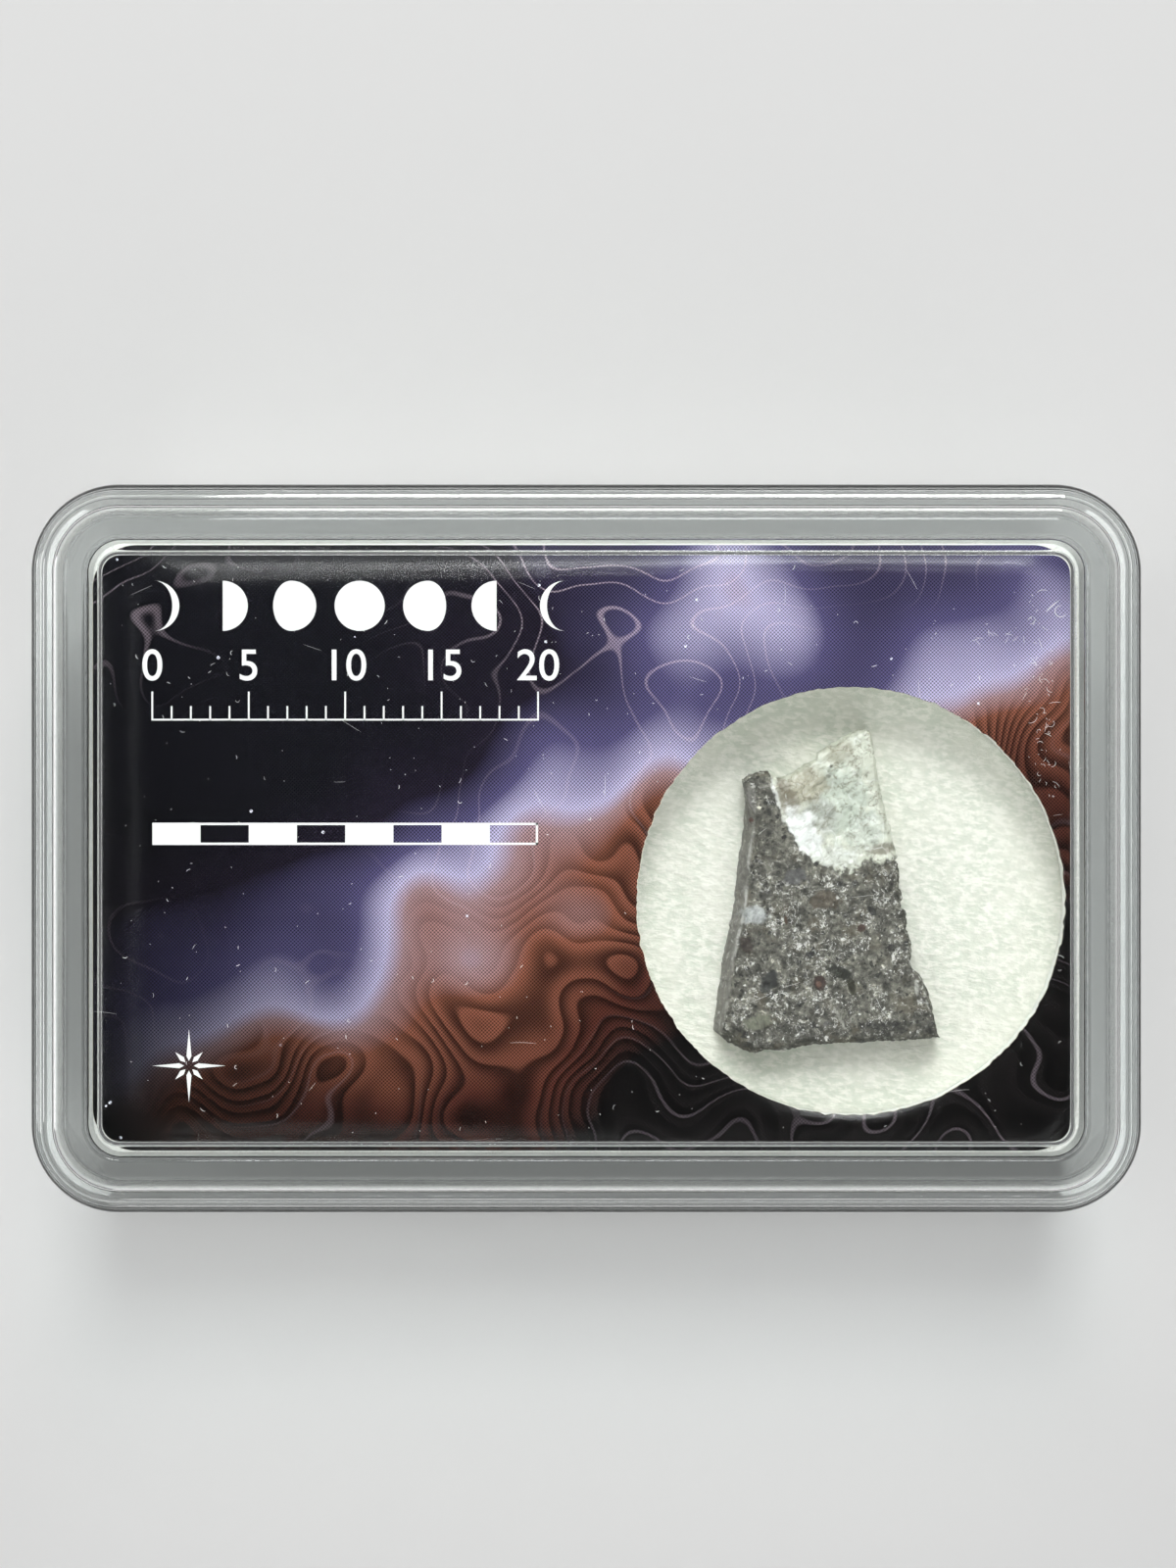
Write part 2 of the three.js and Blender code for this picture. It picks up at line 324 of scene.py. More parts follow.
class Tree:
    """The nodes of a new material or, on request, of a world."""

    def __init__(self, name, kind="Material"):
        self.kind = kind
        self.owner = (bpy.data.worlds if kind == "World" else bpy.data.materials).new(name)
        self.owner.use_nodes = True
        self.nodes = self.owner.node_tree.nodes
        self.links = self.owner.node_tree.links
        self.nodes.clear()

    def node(self, kind, settings=None, sockets=None, out=0):
        """Adds a node: settings first, such as an operation, then its sockets' values or links. Gives the
        output named by out."""
        made = self.nodes.new(kind)
        for key, value in (settings or {}).items():
            setattr(made, key, value)
        for key, value in (sockets or {}).items():
            if isinstance(value, Value):
                self.links.new(value.socket, made.inputs[key])
            else:
                made.inputs[key].default_value = value
        return Value(self, made.outputs[out])

    def math(self, operation, *values, clamp=False):
        sockets = dict(enumerate(values))
        return self.node("ShaderNodeMath", {"operation": operation, "use_clamp": clamp}, sockets)

    def millimetres(self):
        """Object coordinates in millimetres."""
        place = self.node("ShaderNodeTexCoord", out="Object")
        return self.scaled(place, 1 / MM)

    def scaled(self, vector, scale):
        return self.node("ShaderNodeVectorMath", {"operation": "SCALE"}, {0: vector, "Scale": scale})

    def parts(self, vector):
        """A vector's x, y and z."""
        made = self.node("ShaderNodeSeparateXYZ", sockets={0: vector})
        return [Value(self, made.socket.node.outputs[i]) for i in range(3)]

    def stretched(self, vector, scale, turn=0.0):
        """A vector turned about z by turn and then scaled along each axis."""
        turned = self.node(
            "ShaderNodeVectorRotate", {"rotation_type": "Z_AXIS"}, {"Vector": vector, "Angle": turn}
        )
        return self.node("ShaderNodeVectorMath", {"operation": "MULTIPLY"}, {0: turned, 1: scale})

    def shifted(self, vector, scale, reach):
        """A vector moved about by noise, by up to half of reach each way."""
        push = self.noise(vector, scale, 1.0, 0.5, "Color")
        sockets = {0: push, 1: (reach,) * 3, 2: vector}
        return self.node("ShaderNodeVectorMath", {"operation": "MULTIPLY_ADD"}, sockets)

    def noise(self, vector, scale, detail=3.0, roughness=0.55, out="Fac"):
        sockets = {"Vector": vector, "Scale": scale, "Detail": detail, "Roughness": roughness}
        return self.node("ShaderNodeTexNoise", None, sockets, out)

    def cells(self, vector, scale, feature="F1"):
        """Distance from the nearest cell's middle, or from its edge."""
        return self.node("ShaderNodeTexVoronoi", {"feature": feature}, {"Vector": vector, "Scale": scale})

    def grains(self, vector, scale):
        """Distance from the nearest cell's middle, and three numbers that differ from cell to cell."""
        away = self.cells(vector, scale)
        return [away, *self.parts(Value(self, away.socket.node.outputs["Color"]))]

    def ease(self, value, low, high):
        """0 where value is at low, 1 where it is at high, and a smooth step between."""
        sockets = {"Value": value, "From Min": low, "From Max": high}
        return self.node("ShaderNodeMapRange", {"interpolation_type": "SMOOTHSTEP"}, sockets)

    def mix(self, factor, first, second):
        """Blends two colours: inputs 6 and 7 of the node, and its output 2."""
        first = first if isinstance(first, Value) else (*first, 1)
        second = second if isinstance(second, Value) else (*second, 1)
        return self.node("ShaderNodeMix", {"data_type": "RGBA"}, {0: factor, 6: first, 7: second}, 2)

    def ramp(self, value, stops):
        """A colour ramp from its stops: a position and a colour each."""
        made = self.node("ShaderNodeValToRGB", None, {"Fac": value}, "Color")
        elements = made.socket.node.color_ramp.elements
        while len(elements) < len(stops):
            elements.new(0.5)
        for element, (position, colour) in zip(elements, stops):
            element.position = position
            element.color = (*colour, 1)
        return made

    def attribute(self, name, out="Fac"):
        return self.node("ShaderNodeAttribute", {"attribute_name": name}, out=out)

    def bump(self, height, distance, strength=1.0):
        """A normal from a height between 0 and 1 that stands distance metres high."""
        sockets = {"Height": height, "Distance": distance, "Strength": strength}
        return self.node("ShaderNodeBump", None, sockets)

    def principled(self, **sockets):
        """A Principled BSDF; an underscore in a socket's name stands for a space."""
        named = {key.replace("_", " "): value for key, value in sockets.items()}
        return self.node("ShaderNodeBsdfPrincipled", None, named)

    def blend_shaders(self, factor, first, second):
        return self.node("ShaderNodeMixShader", None, {0: factor, 1: first, 2: second})

    def finish(self, surface):
        """Links the surface to the output and gives the material or world."""
        out = self.nodes.new("ShaderNodeOutput" + self.kind)
        self.links.new(surface.socket, out.inputs["Surface"])
        return self.owner


def clear_plastic(settings):
    """Polished clear polystyrene: light bends as it goes through, the moulded faces are faintly wavy, and
    lamps reach what lies under it."""
    tree = Tree("clear_polystyrene")
    wave = tree.noise(tree.millimetres(), 0.3, 0.0)
    normal = tree.bump(wave, 0.00001, 0.4)
    glass = tree.principled(
        Base_Color=(*settings.tint, 1), Roughness=0.0, IOR=1.59, Transmission_Weight=1.0, Normal=normal
    )
    lamps = tree.node("ShaderNodeLightPath", out="Is Shadow Ray")
    clear = tree.node("ShaderNodeBsdfTransparent", None, {"Color": (0.93, 0.94, 0.94, 1)})
    return tree.finish(tree.blend_shaders(lamps, glass, clear))


def printed_paper(settings):
    """Printed card: a contour-line design in violet and rust, broken into the print's dots, on white
    paper that shows at its cut edges."""
    tree = Tree("printed_card")
    place = tree.millimetres()
    x, y, z = tree.parts(place)
    # A wavering slant from the black and violet corner, below 0, to the rust and black corner, above 0
    warp = tree.noise(place, 0.05, 2.0, 0.5)
    across = x * 0.0135 - y * 0.03 + warp * 1.3 - 0.62
    base = tree.ramp(
        tree.math("ADD", across, 0.5, clamp=True),
        [
            (0.0, (0.005, 0.005, 0.008)),
            (0.22, (0.012, 0.009, 0.018)),
            (0.38, tuple(settings.cool)),
            (0.46, (0.4, 0.37, 0.54)),
            (0.5, (0.3, 0.19, 0.2)),
            (0.56, tuple(settings.warm)),
            (0.76, (0.07, 0.02, 0.013)),
            (0.95, (0.006, 0.005, 0.005)),
        ],
    )
    # Shaded ledges in the rust part
    height = tree.noise(place, 0.075, 2.0, 0.5)
    strata = tree.math("FRACT", height * 34 + y * 0.12)
    crest = tree.ease(strata, 0.0, 0.8) * (1.0 - tree.ease(strata, 0.86, 1.0))
    warmth = tree.ease(across, -0.02, 0.12)
    shade = 1.0 - warmth * (1.0 - crest) * 0.75
    toned = tree.scaled(base, shade)
    # Thin pale contour lines, stars, and a darker corner
    band = tree.math("FRACT", height * 17)
    line = tree.ease(tree.math("ABSOLUTE", band - 0.5), 0.44, 0.49)
    glow = tree.ease(tree.noise(place, 0.06, 1.0), 0.4, 0.7) * line
    lined = tree.mix(glow * (0.32 - warmth * 0.22), toned, (0.75, 0.6, 0.7))
    star = tree.cells(place, 0.55)
    shaded = tree.scaled(lined, tree.ease(x + y * 0.6, -34.0, -8.0))
    starred = tree.mix((star < 0.045) * (1.0 - warmth) * 0.8, shaded, (0.8, 0.8, 0.9))
    # The product of two sines gives a screen of dots at 45 degrees
    rate = FULL_TURN / (settings.screen / MM * math.sqrt(2))
    level = tree.math("SINE", x * rate) * tree.math("SINE", y * rate) * 0.9 + 1.0
    screened = tree.scaled(starred, level)
    # Bare paper below the ink
    on_top = z > float(CARD_HIGH[2]) - 0.03
    grain = tree.noise(place, 9.0, 3.0)
    core = tree.mix(grain, (0.8, 0.72, 0.55), (0.9, 0.86, 0.76))
    colour = tree.mix(on_top, core, screened)
    normal = tree.bump(tree.noise(place, 6.0, 4.0), 0.000008)
    ink = tree.principled(Base_Color=colour, Roughness=0.25, Normal=normal, Specular_IOR_Level=0.3)
    return tree.finish(ink)


def white_ink():
    """Bare white paper of the marks, with the faint mottling of the sheet."""
    tree = Tree("white_marks")
    grain = tree.noise(tree.millimetres(), 5.0, 4.0)
    colour = tree.mix(grain, (0.82, 0.83, 0.82), (0.92, 0.92, 0.9))
    normal = tree.bump(grain, 0.000006)
    return tree.finish(tree.principled(Base_Color=colour, Roughness=0.5, Normal=normal))


def felted_paper():
    """Soft white backing: pressed fibres with pale green and cream blotches."""
    tree = Tree("white_pad")
    place = tree.millimetres()
    blotch = tree.noise(place, 0.5, 3.0, 0.6)
    weave = tree.noise(tree.stretched(place, (2.0, 4.2, 3.0), 0.15), 1.0, 5.0, 0.65)
    tone = tree.mix(tree.ease(blotch, 0.35, 0.65), (0.69, 0.73, 0.63), (0.78, 0.79, 0.7))
    colour = tree.mix(tree.ease(weave, 0.42, 0.62), tone, (0.9, 0.9, 0.82))
    normal = tree.bump(weave, 0.00012, 0.9)
    return tree.finish(
        tree.principled(Base_Color=colour, Roughness=0.95, Normal=normal, Sheen_Weight=0.25)
    )


def cut_foam():
    """Fine-celled white foam with a sawn edge."""
    tree = Tree("white_foam")
    place = tree.millimetres()
    cell = tree.cells(place, 3.6)
    fine = tree.cells(place, 8.0)
    pores = tree.math("MINIMUM", cell, fine)
    colour = tree.mix(tree.ease(pores, 0.02, 0.3), (0.62, 0.64, 0.6), (0.87, 0.88, 0.84))
    normal = tree.bump(pores, 0.00012, 0.7)
    return tree.finish(tree.principled(Base_Color=colour, Roughness=0.9, Normal=normal))


def breccia(settings):
    """Dark matrix full of feldspar chips, with a milky clast where the mesh's clast value is 1."""
    tree = Tree("lunar_breccia")
    place = tree.millimetres()
    warped = tree.shifted(tree.shifted(place, 1.3, 0.35), 6.5, 0.13)
    cloud = tree.noise(place, 0.8, 2.0, 0.6)
    stone = dark_breccia(tree, settings, place, warped, cloud)
    feldspar = milky_feldspar(tree, warped, cloud)
    return tree.finish(tree.blend_shaders(tree.attribute("clast"), stone, feldspar))


def dark_breccia(tree, settings, place, warped, cloud):
    """Grey-brown ground with chips of three sizes, pale wisps, darker grains and a darker lower edge."""
    fine = tree.noise(warped, 3.2, 5.0, 0.72)
    tones = ((0.3, 0.08), (0.42, 0.5), (0.56, 1.05), (0.62, 1.4), (0.67, 4.0))
    matrix = tree.ramp(fine, [(at, tuple(tone * c for c in settings.matrix)) for at, tone in tones])
    x, y, _ = tree.parts(warped)
    low_edge = tree.ease(y - x * 0.05, -9.2, -9.9)
    mottle = tree.ease(tree.noise(warped, 1.5, 2.0, 0.6), 0.36, 0.62) * 0.6 + 0.64
    toned = tree.scaled(matrix, mottle * (1.0 - low_edge * 0.4))
    colour = tree.mix(tree.ease(cloud, 0.52, 0.7) * 0.5, toned, (0.12, 0.105, 0.07))
    calm = tree.attribute("calm")
    patch = tree.ease(tree.noise(place, 0.9, 3.0), 0.4, 0.6) * (1.0 - low_edge * 0.6)
    # Chips: the number of cells in a millimetre, how rare they are and how bright
    for scale, share, bright in ((1.9, 0.99, 0.5), (3.6, 0.97, 0.9), (6.5, 0.93, 0.95)):
        away, red, green, blue = tree.grains(warped, scale)
        rough_away = away - (fine - 0.5) * 1.8
        pale = (red + patch * 0.2 - 0.03 - calm * 0.5 > share) * (1.0 - tree.ease(rough_away, 0.2, 0.34))
        colour = tree.mix(pale * (blue * 0.6 + 0.4) * bright, colour, settings.flecks)
        dark = (green > 0.88) * (1.0 - tree.ease(rough_away, 0.26, 0.42))
        colour = tree.mix(dark * 0.85, colour, (0.012, 0.012, 0.011))
    # Wisps, along the lines where a noise crosses its middle
    for scale, breadth in ((1.9, 0.022), (4.2, 0.03)):
        ridge = tree.math("ABSOLUTE", tree.noise(warped, scale, 2.0, 0.5) - 0.5)
        wisp = (1.0 - tree.ease(ridge, 0.004, breadth)) * patch * (1.0 - calm) * tree.ease(fine, 0.46, 0.56)
        colour = tree.mix(wisp * 0.85, colour, settings.flecks)
    colour = tree.mix(tree.attribute("flank") * 0.5, colour, (0.3, 0.29, 0.27))
    # A pale line painted along the edge where the long left side meets the sawn face: a painted highlight.
    painted_edge_highlight = tree.attribute("edge_highlight_line") * tree.ease(cloud, 0.4, 0.6)
    colour = tree.mix(painted_edge_highlight * 0.8, colour, (0.62, 0.62, 0.58))
    grains = tree.scaled(tree.attribute("grain_colour", "Color"), fine * 2.4 - 0.2)
    colour = tree.mix(tree.attribute("grain_colour", "Alpha"), colour, grains)
    rough = 0.6 - tree.ease(fine, 0.55, 0.75) * 0.25
    normal = tree.bump(fine, 0.00007, 0.9)
    return tree.principled(Base_Color=colour, Roughness=rough, Normal=normal)


def milky_feldspar(tree, warped, cloud):
    """White fibres where the clast is frosted, brown veins elsewhere, and a few pale cracks."""
    milky = tree.attribute("clast_colour", "Color")
    frost = tree.attribute("clast_colour", "Alpha")
    streak = tree.noise(tree.stretched(warped, (3.6, 1.5, 2.0), 0.9), 1.0, 4.0, 0.7)
    feathered = tree.mix(tree.ease(streak, 0.46, 0.66) * frost, milky, (0.93, 0.95, 0.93))
    veined = tree.mix(tree.ease(streak, 0.47, 0.3) * (0.75 - frost * 0.4), feathered, (0.15, 0.145, 0.11))
    vein = tree.math("ABSOLUTE", tree.noise(warped, 1.3, 4.0, 0.6) - 0.5)
    stained = tree.ease(vein, 0.03, 0.0) * (1.0 - frost) * tree.ease(cloud, 0.62, 0.45)
    veined = tree.mix(stained * 0.75, veined, (0.16, 0.135, 0.085))
    split = tree.cells(warped, 0.9, "DISTANCE_TO_EDGE")
    broken = (1.0 - tree.ease(split, 0.0, 0.03)) * tree.ease(cloud, 0.5, 0.6)
    cracked = tree.mix(broken * 0.6, veined, (0.85, 0.88, 0.85))
    facets = tree.bump(streak * 0.8 + tree.ease(split, 0.0, 0.12) * 0.2, 0.00006, 0.8)
    return tree.principled(Base_Color=cracked, Roughness=0.36, Normal=facets, Specular_IOR_Level=0.6)


def lint_fibre():
    """White textile fibre."""
    tree = Tree("white_lint")
    tone = tree.noise(tree.millimetres(), 2.0)
    colour = tree.mix(tone, (0.75, 0.76, 0.74), (0.95, 0.95, 0.93))
    return tree.finish(tree.principled(Base_Color=colour, Roughness=0.7))


# Operators, one for each piece or group of like pieces


class MBOX_OT_stage(bpy.types.Operator):
    """Lays the floor, hangs the lights and sets the camera straight above the box"""

    bl_idname = "mbox.stage"
    bl_label = "Stage"

    def execute(self, context):
        settings = context.scene.mbox_stage
        self.make_floor(settings)
        self.make_world()
        self.make_lights(settings)
        self.make_camera(settings)
        context.scene.view_settings.view_transform = "Standard"
        return {"FINISHED"}

    def make_floor(self, settings):
        """A flat square, far larger than the view."""
        half = 2.0
        mesh = bpy.data.meshes.new("floor")
        corners = [(-half, -half, 0), (half, -half, 0), (half, half, 0), (-half, half, 0)]
        mesh.from_pydata(corners, [], [(0, 1, 2, 3)])
        tree = Tree("pale_floor")
        surface = tree.principled(Base_Color=(*settings.floor, 1), Roughness=0.85)
        mesh.materials.append(tree.finish(surface))
        floor = add_object("floor", mesh)

    def make_world(self):
        """A pale room, dark straight overhead so that the flat lid mirrors nothing bright."""
        tree = Tree("soft_room", "World")
        up = tree.parts(tree.node("ShaderNodeTexCoord", out="Generated"))[2]
        stops = (
            (0.0, (0.22, 0.22, 0.23)),
            (0.3, (0.85, 0.86, 0.88)),
            (0.7, (0.6, 0.61, 0.63)),
            (0.92, (0.03, 0.03, 0.03)),
        )
        room = tree.node("ShaderNodeBackground", None, {"Color": tree.ramp(up, stops), "Strength": 0.36})
        bpy.context.scene.world = tree.finish(room)

    def make_lights(self, settings):
        """Soft panels aimed at the box: place in metres, size, share of the key light's power."""
        panels = (
            ("key_panel", (0.02, 0.26, 0.31), 0.13, 1.0),
            ("left_panel", (-0.34, 0.02, 0.2), 0.16, 0.3),
            ("low_panel", (0.08, -0.3, 0.3), 0.42, 0.78),
        )
        for name, place, size, share in panels:
            light = bpy.data.lights.new(name, "AREA")
            light.size = size
            light.energy = settings.key * share
            lamp = add_object(name, light, place)
            lamp.rotation_euler = (-lamp.location).to_track_quat("-Z", "Y").to_euler()

    def make_camera(self, settings):
        """Straight down; the picture's middle lies a little behind the box's middle."""
        tall = PICTURE_HEIGHT / PIXELS_PER_MM * MM
        aim = (0.09 * MM, 3.31 * MM)
        data = bpy.data.cameras.new("camera")
        data.sensor_width = 36.0
        data.lens = data.sensor_width * settings.camera_height / tall
        data.clip_start = 0.01
        place = (*aim, LID_HIGH[2] * MM + settings.camera_height)
        bpy.context.scene.camera = add_object("camera", data, place)


class MBOX_OT_clear_box(bpy.types.Operator):
    """Makes the clear lid and tray with rounded moulded edges"""

    bl_idname = "mbox.clear_box"
    bl_label = "Clear box"

    def execute(self, context):
        settings = context.scene.mbox_box
        plastic = clear_plastic(settings)
        for name, node, profile in (
            ("lid_shell", "lid", self.lid_profile(settings)),
            ("tray_shell", "tray", self.tray_profile(settings)),
        ):
            rings = swept_rings(profile, LENGTH, WIDTH, settings.corner / MM)
            piece = ring_solid(name, rings, plastic)
            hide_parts(node)
        return {"FINISHED"}

    def lid_profile(self, settings):
        """From the middle of the underside down the skirt's inside and up its outside to the top."""
        top = LID_HIGH[2]
        foot = LID_LOW[2]
        wall = settings.skirt / MM
        ceiling = top - 1.2
        panel = 3.5
        return [
            (panel + 0.6, ceiling + 0.15),
            (panel + 0.2, ceiling + 0.15),
            *[(panel - inset, height) for inset, height in arc((-0.15, ceiling + 0.07), 0.08, 1, 0, 3)],
            (panel - 0.08, ceiling),
            (panel - 0.14, ceiling),
            (wall + 0.6, ceiling),
            *arc((wall + 0.35, ceiling - 0.35), 0.35, 1, 2),
            (wall, ceiling - 0.6),
            (wall, foot + 0.3),
            *arc((wall - 0.15, foot + 0.15), 0.15, 0, -1, 3),
            *arc((0.15, foot + 0.15), 0.15, -1, -2, 3),
            (0, foot + 0.3),
            (0, top - 1.1),
            *arc((0.9, top - 0.9), 0.9, 2, 1, 10),
            (1.1, top),
            (4.0, top),
        ]

    def tray_profile(self, settings):
        """From the middle of the underside round the foot plate, up over the standing wall and in."""
        flange = PAD_LOW[2]
        outer = (settings.skirt + settings.fit_gap) / MM
        inner = outer + settings.tray_wall / MM
        rim = TRAY_HIGH[2]
        return [
            (3.0, 0),
            (0.6, 0),
            *arc((0.35, 0.35), 0.35, -1, -2),
            (0, 0.5),
            (0, flange - 0.25),
            *arc((0.12, flange - 0.12), 0.12, 2, 1, 3),
            (0.3, flange),
            (outer - 0.3, flange),
            *arc((outer - 0.15, flange + 0.15), 0.15, -1, 0, 3),
            (outer, flange + 0.4),
            (outer, rim - 0.55),
            *arc((outer + 0.35, rim - 0.35), 0.35, 2, 1),
            *arc((inner - 0.35, rim - 0.35), 0.35, 1, 0),
            (inner, rim - 0.6),
            (inner, flange + 0.3),
            (inner, flange + 0.02),
            (inner + 0.02, flange),
            (inner + 0.3, flange),
            (inner + 1.0, flange),
        ]


class MBOX_OT_padding(bpy.types.Operator):
    """Makes the white pad and the foam layer with its round well"""

    bl_idname = "mbox.padding"
    bl_label = "White padding"

    def execute(self, context):
        self.make_pad()
        self.make_foam()
        return {"FINISHED"}

    def make_pad(self):
        """A slab whose upper face is fibrous: rings spread from the well's middle to the slab's outline, with
        dips of layered noise below the level that the stone rests on."""
        size = PAD_HIGH - PAD_LOW
        outline = rounded_outline(*size[:2], PADDING_CORNER, 8, 60)
        low, high = PAD_LOW[2], PAD_HIGH[2]
        rings = [level_ring(outline, level) for level in (low, low + 0.2, high - 0.25)]
        for share in np.linspace(1, 0.02, 130):
            line = WINDOW + (outline - WINDOW) * share
            felt = 0.05 + 0.09 * layered_noise(line[:, 0] * 1.4, line[:, 1] * 1.4, 21)
            edge = 0.12 * ease(share, 0.985, 1.0)
            rings.append(level_ring(line, high - np.clip(felt, 0, 0.2) - edge))
        pad = ring_solid("white_pad", rings, felted_paper())
        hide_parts("backing_pad")

    def make_foam(self):
        """A frame round the well: its section runs up the outside, in over the top and down the well."""
        size = FOAM_HIGH - FOAM_LOW
        outline = rounded_outline(*size[:2], PADDING_CORNER, 8, 60)
        well = window_line(outline, WELL_RADIUS, 0.03)
        low, high = FOAM_LOW[2], FOAM_HIGH[2]
        section = [
            (0.0, low), (0.0, low + 0.15), (0.0, high - 0.15), (0.006, high - 0.02), (0.02, high),
            (0.4, high), (0.98, high), (0.995, high - 0.03), (1.0, high - 0.15), (1.0, low + 0.15),
            (1.0, low), (0.5, low),
        ]
        rings = frame_rings(outline, well, section)
        foam = ring_solid("foam_layer", rings, cut_foam(), loop=True)
        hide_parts("foam_frame")


def window_line(outline, radius, ragged):
    """The circle of the window, one point for each point of the outline in the same direction from its
    middle, moved in and out a little as a cut edge is."""
    away = outline - WINDOW
    angle = np.arctan2(away[:, 1], away[:, 0])
    wander = ragged * 2 * layered_noise(angle * 14, angle * 3 + 5, 31)
    reach = radius + wander
    return WINDOW + np.stack([np.cos(angle) * reach, np.sin(angle) * reach], axis=-1)


class MBOX_OT_card(bpy.types.Operator):
    """Makes the printed card with its round window, and the white marks on it"""

    bl_idname = "mbox.card"
    bl_label = "Printed card"

    def execute(self, context):
        settings = context.scene.mbox_card
        self.make_card(settings)
        self.make_marks()
        return {"FINISHED"}

    def make_card(self, settings):
        """A thin frame between the card's outline and the window's ragged cut edge."""
        size = CARD_HIGH - CARD_LOW
        middle = (CARD_HIGH + CARD_LOW)[:2] / 2
        outline = middle + rounded_outline(*size[:2], settings.corner / MM, 16, 110)
        window = window_line(outline, WINDOW_RADIUS, 0.05)
        low, high = CARD_LOW[2], CARD_HIGH[2]
        section = [
            (0.0, low), (0.0, high - 0.04), (0.002, high), (0.2, high), (0.6, high), (0.99, high),
            (0.998, high - 0.015), (1.0, high - 0.05), (1.0, low), (0.5, low),
        ]
        rings = frame_rings(outline, window, section)
        card = ring_solid("printed_card", rings, printed_paper(settings), loop=True)
        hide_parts("card")

    def make_marks(self):
        """White marks a hair above the print: a row of moon phases, a ruler with plain numbers, a bar of
        filled and open blocks, and an eight-pointed star."""
        outlines = [self.phase((-22.4 + 3.55 * step, 12.55), 1.3, step) for step in range(7)]
        left, low, line = -22.5, 6.6, 0.09
        outlines.append(self.bar(left, low, 20.0, line))
        for step in range(21):
            tall = 1.5 if step % 5 == 0 else 0.75
            outlines.append(self.bar(left + step - line / 2, low, line, tall))
        block, foot, tall, line = 2.5, 0.15, 1.15, 0.12
        for start in np.arange(4) * 2 * block + left:
            outlines.append(self.bar(start, foot, block, tall))
            outlines.append(self.bar(start + block, foot, block, line))
            outlines.append(self.bar(start + block, foot + tall - line, block, line))
        outlines.append(self.bar(left + 8 * block - line, foot, line, tall))
        for eighth in range(8):
            outlines.append(self.ray((-20.6, -11.3), eighth * math.pi / 4, 1.0 if eighth % 2 else 1.9))
        levels = (CARD_HIGH[2] + 0.004, CARD_HIGH[2] + 0.016)
        plates = [np.stack([level_ring(outline, level) for level in levels]) for outline in outlines]
        ink = white_ink()
        join_solids("white_marks", plates, ink, smooth=False)
        for number in range(0, 25, 5):
            self.make_number(str(number), (left + number, low + 2.1), ink)

    def phase(self, middle, radius, step):
        """Outline of the lit part of a moon: half of its limb, and back along half an ellipse whose
        breadth goes from a thin crescent through a half and full disc to a crescent again."""
        breadth = (0.72, 0.0, -0.72, -1.0, -0.72, 0.0, 0.72)[step]
        side = 1 if step <= 3 else -1
        angle = np.linspace(-math.pi / 2, math.pi / 2, 33)
        limb = np.stack([np.cos(angle), np.sin(angle)], axis=-1)
        back = np.stack([breadth * np.cos(angle), np.sin(angle)], axis=-1)[::-1][1:-1]
        shape = np.concatenate([limb, back]) * radius
        if side < 0:
            shape = shape[::-1] * (-1, 1)
        return (shape + middle).tolist()

    def ray(self, middle, turn, reach):
        """A narrow kite that points away from the middle."""
        shape = np.array([(0.25, 0.0), (0.5, -0.13), (reach, 0.0), (0.5, 0.13)])
        u, v = np.array([math.cos(turn), math.sin(turn)]), np.array([-math.sin(turn), math.cos(turn)])
        return (middle + shape[:, :1] * u + shape[:, 1:] * v).tolist()

    def bar(self, left, low, length, height):
        """A rectangle's corners, anticlockwise."""
        return [(left, low), (left + length, low), (left + length, low + height), (left, low + height)]

    def make_number(self, words, place, material):
        """A number in Blender's own plain letters, centred on place."""
        curve = bpy.data.curves.new("number_" + words, "FONT")
        curve.body = words
        curve.size = 2.3
        curve.align_x = "CENTER"
        curve.extrude = 0.006
        curve.offset = 0.012
        temporary = add_object("number_curve", curve)
        bpy.context.view_layer.update()
        shape = temporary.evaluated_get(bpy.context.evaluated_depsgraph_get()).to_mesh()
        points = read_points(shape) + (*place, CARD_HIGH[2] + 0.01)
        faces = [list(face.vertices) for face in shape.polygons]
        bpy.data.objects.remove(temporary)
        make_piece("number_" + words, points, faces, material, smooth=False)


